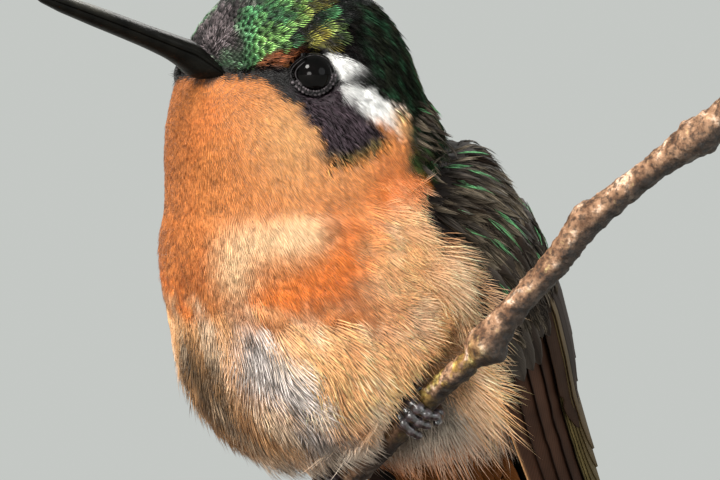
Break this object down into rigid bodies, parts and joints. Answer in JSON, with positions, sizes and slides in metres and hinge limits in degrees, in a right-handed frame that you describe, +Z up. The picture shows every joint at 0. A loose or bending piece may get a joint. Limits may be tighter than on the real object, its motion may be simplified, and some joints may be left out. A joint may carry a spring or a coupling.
{
  "type": "perched hummingbird on a display stand",
  "caption": "Life-size perched hummingbird with folded wings and a raised straight bill, on a short cut twig held by a round stand.",
  "frame": {"origin": "centre of the stand base's underside", "axes": "+Z up; the bird faces between -X and -Y, its bill turned about 50 degrees from -Y towards -X; the twig rises towards +X"},
  "size_m": [0.08, 0.08, 0.0761],
  "materials": {
    "crown_feathers": "iridescent green scale feathers, black cheek, white stripe behind the eye",
    "throat_feathers": "short dense orange feathers",
    "belly_feathers": "long loose buff-orange feathers, dusky at the base",
    "wing_feathers": "brown-black vanes with a faint gloss, green edges on the coverts",
    "tail_feathers": "dark bronze-green vanes, pale outer tips",
    "bill": "black satin horn",
    "eye": "glossy near-black",
    "foot": "scaled grey-purple skin, black claws",
    "bark": "purple-brown bark with pale lichen",
    "stand_wood": "dark turned wood, satin varnish",
    "stand_brass": "brushed brass"
  },
  "bodies": {
    "root": {"head": "crown_feathers", "neck": "throat_feathers", "torso": "belly_feathers", "bill_upper": "bill", "bill_lower": "bill", "eye_left": "eye", "eye_right": "eye", "wing_left": "wing_feathers", "wing_right": "wing_feathers", "tail": "tail_feathers", "foot_left": "foot", "foot_right": "foot", "twig": "bark", "stand_base": "stand_wood", "stand_rod": "stand_brass"}
  },
  "joints": []
}
